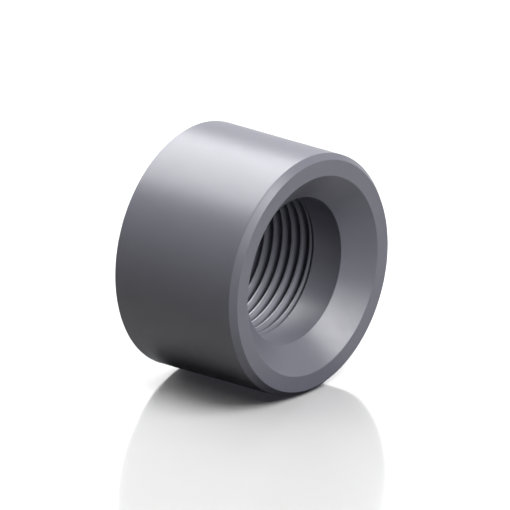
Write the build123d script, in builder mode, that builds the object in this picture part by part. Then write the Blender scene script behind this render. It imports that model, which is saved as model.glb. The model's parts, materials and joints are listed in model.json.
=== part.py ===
from build123d import *
from math import radians, tan
import os

# Threaded reducing bush, one piece of rigid plastic, in millimetres with +Z up.
# Its axis is Z. It stands on its flat threaded end, at z = 0, and its front,
# with the chamfered rim and the funnel, is at the top.

# Outside: the plain spigot that is cemented into a pipe socket.
spigot_diameter = 50.0
length = 31.0
lead_chamfer_width = 1.15
lead_chamfer_height = 1.3
back_edge_break = 0.5

# Inside, from the front: a funnel, then a smooth throat level with the thread's crests.
funnel_mouth_diameter = 41.2
funnel_depth = 4.9

# Inside, from the back: a parallel one inch pipe thread of the Whitworth form.
# Its crests have the slight draft of a moulded piece, from the back face to the throat.
thread_length = 19.0
thread_major_diameter = 33.249
thread_pitch = 2.309
flank_angle = 27.5
crest_draft = 0.05
countersink_margin = 0.4

# The Whitworth form: a sharp triangle with a sixth of its height cut off at crest and root.
sharp_height = thread_pitch / (2 * tan(radians(flank_angle)))
cut_height = sharp_height / 6
root_half_width = cut_height * tan(radians(flank_angle))

spigot_radius = spigot_diameter / 2
major_radius = thread_major_diameter / 2
minor_radius = major_radius - sharp_height + 2 * cut_height
throat_radius = minor_radius - crest_draft
countersink_radius = major_radius + countersink_margin

# The groove's section stands a little out of the wall, less than where it would meet the next turn.
mouth_radius = throat_radius - cut_height / 4
mouth_half_width = root_half_width + (major_radius - mouth_radius) * tan(radians(flank_angle))

with BuildPart() as groove:
    # One turn for each pitch, wound on past both ends of the thread, then cut off square at the throat.
    with BuildLine() as winding:
        Helix(thread_pitch, thread_length + 2 * thread_pitch, major_radius, center=(0, 0, -thread_pitch))
    with BuildSketch(Plane.XZ) as groove_section:
        with Locations((0, -thread_pitch)):
            Polygon(
                (major_radius, root_half_width),
                (mouth_radius, mouth_half_width),
                (mouth_radius, -mouth_half_width),
                (major_radius, -root_half_width),
                align=None,
            )
    sweep(path=winding.line, is_frenet=True)
    split(bisect_by=Plane.XY.offset(thread_length), keep=Keep.BOTTOM)

with BuildPart() as bush:
    with BuildSketch(Plane.XZ) as wall_section:
        with BuildLine():
            Polyline(
                (minor_radius, 0),
                (spigot_radius - back_edge_break, 0),
                (spigot_radius, back_edge_break),
                (spigot_radius, length - lead_chamfer_height),
                (spigot_radius - lead_chamfer_width, length),
                (funnel_mouth_diameter / 2, length),
                (throat_radius, length - funnel_depth),
                (throat_radius, thread_length),
                close=True,
            )
        make_face()
    revolve(axis=Axis.Z)
    add(groove.part, mode=Mode.SUBTRACT)

    # A countersink leads the pipe into the thread from the back.
    Cone(
        countersink_radius,
        mouth_radius,
        countersink_radius - mouth_radius,
        align=(Align.CENTER, Align.CENTER, Align.MIN),
        mode=Mode.SUBTRACT,
    )

bush.part.label = "bush"
os.makedirs("parts", exist_ok=True)
export_step(bush.part, "parts/bush.step")
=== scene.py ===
import json
from math import cos, pi, radians, sin, tan

import bmesh
import bpy
from mathutils import Matrix, Vector


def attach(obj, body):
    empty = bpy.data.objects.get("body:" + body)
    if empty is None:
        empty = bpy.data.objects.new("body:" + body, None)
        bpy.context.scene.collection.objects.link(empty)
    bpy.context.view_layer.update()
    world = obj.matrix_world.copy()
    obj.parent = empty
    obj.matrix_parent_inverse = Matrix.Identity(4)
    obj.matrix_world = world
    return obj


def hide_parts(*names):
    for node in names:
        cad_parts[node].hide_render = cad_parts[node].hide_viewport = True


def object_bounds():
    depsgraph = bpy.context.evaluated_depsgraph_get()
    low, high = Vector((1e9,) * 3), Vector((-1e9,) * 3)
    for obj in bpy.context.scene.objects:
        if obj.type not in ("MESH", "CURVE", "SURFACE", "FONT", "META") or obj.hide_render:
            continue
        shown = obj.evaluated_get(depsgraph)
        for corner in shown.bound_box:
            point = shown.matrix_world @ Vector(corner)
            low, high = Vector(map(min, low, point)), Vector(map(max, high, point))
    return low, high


# A threaded reducing bush of dark satin plastic. Metres throughout, in the CAD's frame: it stands on
# its threaded end at z = 0, with the funnelled front at the top. The photograph shows it lying on its
# side, so the camera is rolled, and the photograph's glossy floor is a sheet that touches that side.
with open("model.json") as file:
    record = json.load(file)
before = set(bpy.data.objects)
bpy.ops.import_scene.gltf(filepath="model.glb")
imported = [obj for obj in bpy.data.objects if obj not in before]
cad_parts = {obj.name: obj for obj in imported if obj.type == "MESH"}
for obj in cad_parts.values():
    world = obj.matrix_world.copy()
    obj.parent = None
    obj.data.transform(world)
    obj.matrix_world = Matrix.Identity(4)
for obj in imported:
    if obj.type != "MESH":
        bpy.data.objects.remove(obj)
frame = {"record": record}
cad_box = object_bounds()
mount_sizes = {mount["name"]: mount["dims"] for mount in frame["record"]["mounts"]}
MM = 0.001

# Sizes from the frame
LENGTH = cad_box[1].z
SPIGOT_RADIUS = mount_sizes["spigot"]["r_mm"] * MM
THREAD_MAJOR_RADIUS = mount_sizes["thread"]["r_mm"] * MM
THREAD_LENGTH = mount_sizes["thread"]["length_mm"] * MM
THROAT_RADIUS = mount_sizes["throat"]["r_mm"] * MM

# Sizes that the part's source gives
THREAD_PITCH = 2.309 * MM
FLANK_ANGLE = radians(27.5)
FUNNEL_MOUTH_RADIUS = 20.6 * MM
FUNNEL_DEPTH = 4.9 * MM
LEAD_CHAMFER_WIDTH = 1.15 * MM
LEAD_CHAMFER_HEIGHT = 1.3 * MM
BACK_EDGE_BREAK = 0.5 * MM
COUNTERSINK_MARGIN = 0.4 * MM
COUNTERSINK_RADIUS = THREAD_MAJOR_RADIUS + COUNTERSINK_MARGIN

# The radius of each edge, and how far the thread's corners are softened to each side
BACK_EDGE = 0.12 * MM
SPIGOT_EDGE = 0.25 * MM
FRONT_EDGE = 0.15 * MM
FUNNEL_MOUTH_EDGE = 0.2 * MM
THROAT_EDGE = 0.15 * MM
THREAD_EDGE = 0.05 * MM

# How finely the piece is cut up and shaded. Each rounded edge has a guard to both sides: one more
# point, that share of the edge's radius away, beyond which the flat stays flat in the shading. The
# thread is wound with spare turns at both ends, which are cut off.
TURN_STEPS = 288
EDGE_STEPS = 4
EDGE_GUARD = 0.5
SPARE_TURNS = 2
SMOOTH_ANGLE = radians(30)

# The photograph's view, a parallel one. The middle of the picture is that far to the left of the
# middle of the bush's front face and above it.
VIEW_AZIMUTH = radians(5.07)
VIEW_ELEVATION = radians(36.233)
VIEW_ROLL = radians(105.83)
VIEW_WIDTH = 101.95 * MM
VIEW_LEFT_OF_FACE = 11.518 * MM
VIEW_ABOVE_FACE = 4.220 * MM
VIEW_DISTANCE = 0.4

# The plastic. Each noise is so many patches to the metre, with that many levels of finer detail.
PLASTIC = (0.115, 0.115, 0.142)
FLOW_NOISE = 130, 3
FLOW_SHADES = 0.93, 1.07
PLASTIC_ROUGHNESS = 0.36
ROUGHNESS_NOISE = 420, 3
ROUGHNESS_SPREAD = 0.05
GRAIN_NOISE = 5000, 2
GRAIN_STRENGTH = 0.25
GRAIN_HEIGHT = 0.004 * MM

# The floor, which touches the bush on the side at that azimuth
FLOOR_SIDE = radians(30.7)
FLOOR_REACH = 1.0
FLOOR_WHITE = 0.8
FLOOR_ROUGHNESS = 0.12

# Painted shade on the floor: where the bush's gloss sees the floor, its white is painted dark right
# under the bush. To each side of the line where the two touch, the painted shade fades out between
# two distances. Along that line it runs from the back face to that far ahead of the front face.
PAINTED_SHADE_START, PAINTED_SHADE_END = 12 * MM, 23 * MM
PAINTED_SHADE_AHEAD = 14 * MM
PAINTED_SHADE_FADE = 3 * MM

# How bright the room is as light
ROOM = 0.02

# The lamps: a direction by the camera's right, up and back, a half angle and a radiance
BUSH_LAMPS = (
    ("front_lamp", (0.620, 0.495, 0.608), radians(17), 12.2),
    ("behind_lamp", (-0.340, 0.917, -0.210), radians(29), 7.7),
    ("side_lamp", (0.497, 0.130, 0.858), radians(13), 6.7),
)
FAR_LAMP = (0.169, -0.115, -0.979), radians(12), 24.0
FLOOR_LAMPS = (
    ("floor_front_lamp", (0.390, 0.636, 0.666), radians(19), 7.84),
    ("floor_behind_lamp", (-0.473, 0.880, -0.044), radians(43), 1.51),
)

# The lamp straight above the floor: a half angle and a radiance
FLOOR_SHEEN = radians(88), 2.85


def rounded_outline(corners):
    """The points of a closed outline of (radius, height, rounding) corners."""
    points = []
    for i, (radius, height, rounding) in enumerate(corners):
        here = Vector((radius, height))
        if not rounding:
            points.append(here)
            continue
        before = Vector(corners[i - 1][:2])
        after = Vector(corners[(i + 1) % len(corners)][:2])
        backward = (before - here).normalized()
        onward = (after - here).normalized()
        half = backward.angle(onward) / 2
        reach = rounding / tan(half)
        centre = here + (backward + onward).normalized() * (rounding / sin(half))
        start = here + backward * reach
        end = here + onward * reach
        first = start - centre
        turn = first.angle_signed(end - centre)
        points.append(start + backward * rounding * EDGE_GUARD)
        for k in range(EDGE_STEPS + 1):
            arm = first.copy()
            arm.rotate(Matrix.Rotation(-turn * k / EDGE_STEPS, 2))
            points.append(centre + arm)
        points.append(end + onward * rounding * EDGE_GUARD)
    return points


def finished_mesh(grid, name):
    """The bmesh as a mesh, with all its faces turned outward."""
    bmesh.ops.recalc_face_normals(grid, faces=grid.faces)
    mesh = bpy.data.meshes.new(name)
    grid.to_mesh(mesh)
    grid.free()
    return mesh


def lathe(name, outline):
    """A closed ring: the outline turned round Z."""
    grid = bmesh.new()
    rings = []
    for k in range(TURN_STEPS):
        angle = 2 * pi * k / TURN_STEPS
        rings.append([grid.verts.new((p.x * cos(angle), p.x * sin(angle), p.y)) for p in outline])
    for k, ring in enumerate(rings):
        following = rings[(k + 1) % TURN_STEPS]
        for i in range(len(outline)):
            j = (i + 1) % len(outline)
            grid.faces.new((ring[i], following[i], following[j], ring[j]))
    return finished_mesh(grid, name)


def thread_section():
    """One pitch of the thread, as (height, radius) from the middle of a root to the next one: a sharp
    triangle with a sixth of its height cut off flat at crest and root, and each corner softened by
    a short curve."""
    sharp_height = THREAD_PITCH / (2 * tan(FLANK_ANGLE))
    cut_height = sharp_height / 6
    crest_radius = THREAD_MAJOR_RADIUS - sharp_height + 2 * cut_height
    half_flat = cut_height * tan(FLANK_ANGLE)
    stops = [Vector(stop) for stop in (
        (0, THREAD_MAJOR_RADIUS),
        (half_flat, THREAD_MAJOR_RADIUS),
        (THREAD_PITCH / 2 - half_flat, crest_radius),
        (THREAD_PITCH / 2 + half_flat, crest_radius),
        (THREAD_PITCH - half_flat, THREAD_MAJOR_RADIUS),
        (THREAD_PITCH, THREAD_MAJOR_RADIUS),
    )]
    section = stops[:1]
    for before, corner, after in zip(stops, stops[1:], stops[2:]):
        arriving = (before - corner).normalized() * THREAD_EDGE
        leaving = (after - corner).normalized() * THREAD_EDGE
        for k in range(EDGE_STEPS + 1):
            t = k / EDGE_STEPS
            section.append(corner + arriving * (1 - t) ** 2 + leaving * t ** 2)
    return section


def cut_off(grid, height, side):
    """Cut the bmesh at that height, and drop what is above it, or below it where the side is -1."""
    everything = grid.verts[:] + grid.edges[:] + grid.faces[:]
    bmesh.ops.bisect_plane(
        grid, geom=everything, plane_co=(0, 0, height), plane_no=(0, 0, side), clear_outer=True
    )


def threaded_rod(name):
    """The space inside the thread: it runs out half a pitch below the back face and ends square at
    the throat."""
    section = thread_section()
    turns = int(THREAD_LENGTH / THREAD_PITCH) + 1 + 2 * SPARE_TURNS
    rows = []
    for turn in range(turns):
        rows += [(z + (turn - SPARE_TURNS) * THREAD_PITCH, r) for z, r in section]
    grid = bmesh.new()
    columns = []
    for k in range(TURN_STEPS):
        angle = 2 * pi * k / TURN_STEPS
        rise = THREAD_PITCH * k / TURN_STEPS
        columns.append([grid.verts.new((r * cos(angle), r * sin(angle), z + rise)) for z, r in rows])
    for k, here in enumerate(columns):
        # The last column meets the first one a turn further up
        shift = len(section) if k == TURN_STEPS - 1 else 0
        following = columns[(k + 1) % TURN_STEPS]
        for i in range(len(rows) - 1 - shift):
            grid.faces.new((here[i], following[i + shift], following[i + 1 + shift], here[i + 1]))
    cut_off(grid, THREAD_LENGTH, 1)
    cut_off(grid, -THREAD_PITCH / 2, -1)
    bmesh.ops.holes_fill(grid, edges=grid.edges, sides=0)
    return finished_mesh(grid, name)


def make_bush():
    """The turned wall, with a 45 degree countersink at the back, less the threaded rod."""
    countersink_rise = COUNTERSINK_RADIUS - THROAT_RADIUS
    wall = rounded_outline([
        (COUNTERSINK_RADIUS, 0, BACK_EDGE),
        (SPIGOT_RADIUS - BACK_EDGE_BREAK, 0, BACK_EDGE),
        (SPIGOT_RADIUS, BACK_EDGE_BREAK, BACK_EDGE),
        (SPIGOT_RADIUS, LENGTH - LEAD_CHAMFER_HEIGHT, SPIGOT_EDGE),
        (SPIGOT_RADIUS - LEAD_CHAMFER_WIDTH, LENGTH, FRONT_EDGE),
        (FUNNEL_MOUTH_RADIUS, LENGTH, FUNNEL_MOUTH_EDGE),
        (THROAT_RADIUS, LENGTH - FUNNEL_DEPTH, THROAT_EDGE),
        (THROAT_RADIUS, countersink_rise, 0),
    ])
    piece = bpy.data.objects.new("bush_body", lathe("bush_body", wall))
    rod = bpy.data.objects.new("threaded_rod", threaded_rod("threaded_rod"))
    for thing in (piece, rod):
        bpy.context.scene.collection.objects.link(thing)
    cut = piece.modifiers.new("thread", "BOOLEAN")
    cut.operation = "DIFFERENCE"
    cut.solver = "MANIFOLD"
    cut.object = rod
    bpy.context.view_layer.update()
    evaluated = piece.evaluated_get(bpy.context.evaluated_depsgraph_get())
    threaded = bpy.data.meshes.new_from_object(evaluated)
    piece.modifiers.clear()
    piece.data = threaded
    bpy.data.objects.remove(rod)
    threaded.shade_smooth()
    threaded.set_sharp_from_angle(angle=SMOOTH_ANGLE)
    return piece


def link(tree, source, target):
    tree.links.new(source, target)


def node(tree, kind, **settings):
    """A new node of that kind, with its settings."""
    made = tree.nodes.new(kind)
    for name, value in settings.items():
        setattr(made, name, value)
    return made


def formula(tree, operation, *values):
    """A Math node; each value is a number or another node's output."""
    made = node(tree, "ShaderNodeMath", operation=operation)
    for socket, value in zip(made.inputs, values):
        if isinstance(value, bpy.types.NodeSocket):
            link(tree, value, socket)
        else:
            socket.default_value = value
    return made.outputs[0]


def fade(tree, value, start, end):
    """From 0 where the value is below the start to 1 where it is past the end."""
    made = node(tree, "ShaderNodeMapRange", interpolation_type="SMOOTHSTEP")
    link(tree, value, made.inputs["Value"])
    made.inputs["From Min"].default_value = start
    made.inputs["From Max"].default_value = end
    return made.outputs["Result"]


def mottled(tree, patches, detail):
    """Noise of that many patches to the metre, in the piece's own coordinates, from 0 to 1."""
    place = node(tree, "ShaderNodeTexCoord")
    noise = node(tree, "ShaderNodeTexNoise")
    noise.inputs["Scale"].default_value = patches
    noise.inputs["Detail"].default_value = detail
    link(tree, place.outputs["Object"], noise.inputs["Vector"])
    return noise.outputs["Fac"]


def new_material(name, colour, roughness):
    """A material and its shader, of one colour and roughness."""
    material = bpy.data.materials.new(name)
    material.use_nodes = True
    shader = material.node_tree.nodes["Principled BSDF"]
    shader.inputs["Base Color"].default_value = (*colour, 1)
    shader.inputs["Roughness"].default_value = roughness
    return material, shader


def satin_plastic():
    """Dark grey rigid plastic with a slight violet cast: faint flow marks in the colour, a gloss that
    varies a little, and the fine grain of the mould."""
    material, shader = new_material("satin_plastic", PLASTIC, PLASTIC_ROUGHNESS)
    tree = material.node_tree

    flow = node(tree, "ShaderNodeMix", data_type="RGBA")
    link(tree, mottled(tree, *FLOW_NOISE), flow.inputs["Factor"])
    for socket, shade in zip("AB", FLOW_SHADES):
        flow.inputs[socket].default_value = (*(shade * part for part in PLASTIC), 1)
    link(tree, flow.outputs["Result"], shader.inputs["Base Color"])

    roughness = node(tree, "ShaderNodeMapRange")
    link(tree, mottled(tree, *ROUGHNESS_NOISE), roughness.inputs["Value"])
    roughness.inputs["To Min"].default_value = PLASTIC_ROUGHNESS - ROUGHNESS_SPREAD
    roughness.inputs["To Max"].default_value = PLASTIC_ROUGHNESS + ROUGHNESS_SPREAD
    link(tree, roughness.outputs["Result"], shader.inputs["Roughness"])

    grain = node(tree, "ShaderNodeBump")
    grain.inputs["Strength"].default_value = GRAIN_STRENGTH
    grain.inputs["Distance"].default_value = GRAIN_HEIGHT
    link(tree, mottled(tree, *GRAIN_NOISE), grain.inputs["Height"])
    link(tree, grain.outputs["Normal"], shader.inputs["Normal"])
    return material


def outside_painted_shade(tree):
    """0 on the floor right under the bush, where painted shade darkens it, and 1 on the open floor.
    """
    place = node(tree, "ShaderNodeTexCoord").outputs["Object"]
    across = node(tree, "ShaderNodeVectorMath", operation="DOT_PRODUCT")
    link(tree, place, across.inputs[0])
    across.inputs[1].default_value = (-sin(FLOOR_SIDE), cos(FLOOR_SIDE), 0)
    from_contact = formula(tree, "ABSOLUTE", across.outputs["Value"])
    parts = node(tree, "ShaderNodeSeparateXYZ")
    link(tree, place, parts.inputs[0])
    middle = (LENGTH + PAINTED_SHADE_AHEAD) / 2
    from_middle = formula(tree, "ABSOLUTE", formula(tree, "SUBTRACT", parts.outputs["Z"], middle))
    sideways = fade(tree, from_contact, PAINTED_SHADE_START, PAINTED_SHADE_END)
    endways = fade(tree, from_middle, middle - PAINTED_SHADE_FADE, middle + PAINTED_SHADE_FADE)
    return formula(tree, "MAXIMUM", sideways, endways)


def in_view(tree, path):
    """1 for what the camera sees, straight or through glass, and 0 for all other light."""
    return formula(tree, "ADD", path.outputs["Is Camera Ray"], path.outputs["Is Transmission Ray"])


def mixed(tree, share, first, second):
    """The first shader where the share is 0 and the second where it is 1."""
    mix = node(tree, "ShaderNodeMixShader")
    link(tree, share, mix.inputs["Fac"])
    link(tree, first.outputs[0], mix.inputs[1])
    link(tree, second.outputs[0], mix.inputs[2])
    return mix


def floor_look():
    """Pale and glossy, and clear from behind. The gloss on the bush shows the floor white, with
    painted shade right under the bush, and the floor throws no other light on the bush, so that the
    lamps alone set how it is lit."""
    material, pale = new_material("glossy_floor", (FLOOR_WHITE,) * 3, FLOOR_ROUGHNESS)
    tree = material.node_tree
    path = node(tree, "ShaderNodeLightPath")
    white = formula(tree, "MULTIPLY", path.outputs["Is Glossy Ray"], FLOOR_WHITE)
    plain = node(tree, "ShaderNodeBsdfDiffuse")
    # Painted shade: the white that the bush's gloss sees is darkened right under the bush.
    link(tree, formula(tree, "MULTIPLY", white, outside_painted_shade(tree)), plain.inputs["Color"])
    front = mixed(tree, in_view(tree, path), plain, pale)
    back = node(tree, "ShaderNodeBsdfTransparent")
    side = node(tree, "ShaderNodeNewGeometry")
    either = mixed(tree, side.outputs["Backfacing"], front, back)
    link(tree, either.outputs[0], tree.nodes["Material Output"].inputs["Surface"])
    return material


def make_room():
    """The world: white behind the object and in its gloss, and dim as light."""
    room = bpy.data.worlds.new("room")
    bpy.context.scene.world = room
    room.use_nodes = True
    tree = room.node_tree
    path = node(tree, "ShaderNodeLightPath")
    shown = formula(tree, "ADD", in_view(tree, path), path.outputs["Is Glossy Ray"])
    background = tree.nodes["Background"]
    background.inputs["Color"].default_value = (1, 1, 1, 1)
    link(tree, formula(tree, "MAXIMUM", shown, ROOM), background.inputs["Strength"])


def view_axes():
    """The camera's right, up and back."""
    back = Vector((
        sin(VIEW_AZIMUTH) * cos(VIEW_ELEVATION),
        -cos(VIEW_AZIMUTH) * cos(VIEW_ELEVATION),
        sin(VIEW_ELEVATION),
    ))
    level = Vector((cos(VIEW_AZIMUTH), sin(VIEW_AZIMUTH), 0))
    upright = back.cross(level)
    right = cos(VIEW_ROLL) * level + sin(VIEW_ROLL) * upright
    return right, back.cross(right), back


def make_camera():
    """The photograph's camera."""
    right, up, back = view_axes()
    camera = bpy.data.objects.new("camera", bpy.data.cameras.new("camera"))
    bpy.context.scene.collection.objects.link(camera)
    camera.data.type = "ORTHO"
    camera.data.ortho_scale = VIEW_WIDTH
    aim = Vector((0, 0, LENGTH)) - right * VIEW_LEFT_OF_FACE + up * VIEW_ABOVE_FACE
    turned = Matrix((right, up, back)).transposed().to_4x4()
    camera.matrix_world = Matrix.Translation(aim + back * VIEW_DISTANCE) @ turned
    bpy.context.scene.camera = camera


def sheet(name, centre, normal, half_size):
    """A square stage sheet."""
    mesh = bpy.data.meshes.new(name)
    across = normal.orthogonal().normalized() * half_size
    along = normal.cross(across)
    corners = [
        centre + across + along,
        centre - across + along,
        centre - across - along,
        centre + across - along,
    ]
    mesh.from_pydata(corners, [], [(0, 1, 2, 3)])
    made = bpy.data.objects.new(name, mesh)
    bpy.context.scene.collection.objects.link(made)
    return made


def group_of(name, thing):
    """A collection that holds that object alone."""
    group = bpy.data.collections.new(name)
    group.objects.link(thing)
    return group


def lamp(name, direction, half_angle, radiance, lit):
    """A distant soft disc of light, in that direction by the camera's right, up and back. It lights
    that group, and only the bush stands in its way."""
    made = bpy.data.lights.new(name, "SUN")
    made.angle = 2 * half_angle
    made.energy = radiance * pi * sin(half_angle) ** 2
    holder = bpy.data.objects.new(name, made)
    towards = sum((axis * part for axis, part in zip(view_axes(), direction)), Vector())
    holder.rotation_euler = towards.to_track_quat("Z", "Y").to_euler()
    bpy.context.scene.collection.objects.link(holder)
    holder.light_linking.receiver_collection = lit
    holder.light_linking.blocker_collection = lit_bush
    return holder


# The bush. Cutting the thread leaves an empty material slot, so the slots are cleared.
bush = make_bush()
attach(bush, "root")
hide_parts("bush")
bush.data.materials.clear()
bush.data.materials.append(satin_plastic())

# The camera, the floor and the room
make_camera()
outward = Vector((cos(FLOOR_SIDE), sin(FLOOR_SIDE), 0))
side_floor = sheet("side_floor", outward * SPIGOT_RADIUS, -outward, FLOOR_REACH)
side_floor.data.materials.append(floor_look())
make_room()

# The bush's lamps. The far lamp is for the sides that the photograph doesn't show.
lit_bush = group_of("lit_bush", bush)
lit_floor = group_of("lit_floor", side_floor)
for name, direction, half_angle, radiance in BUSH_LAMPS:
    lamp(name, direction, half_angle, radiance, lit_bush)
far_lamp = lamp("far_lamp", *FAR_LAMP, lit_bush)
far_lamp.visible_glossy = False

# The floor's lamps. Its plain white and its gloss are lit apart.
for name, direction, half_angle, radiance in FLOOR_LAMPS:
    floor_lamp = lamp(name, direction, half_angle, radiance, lit_floor)
    floor_lamp.visible_glossy = False
overhead = [-outward.dot(axis) for axis in view_axes()]
floor_sheen = lamp("floor_sheen", overhead, *FLOOR_SHEEN, lit_floor)
floor_sheen.visible_diffuse = False

bpy.context.scene.view_settings.view_transform = "Standard"
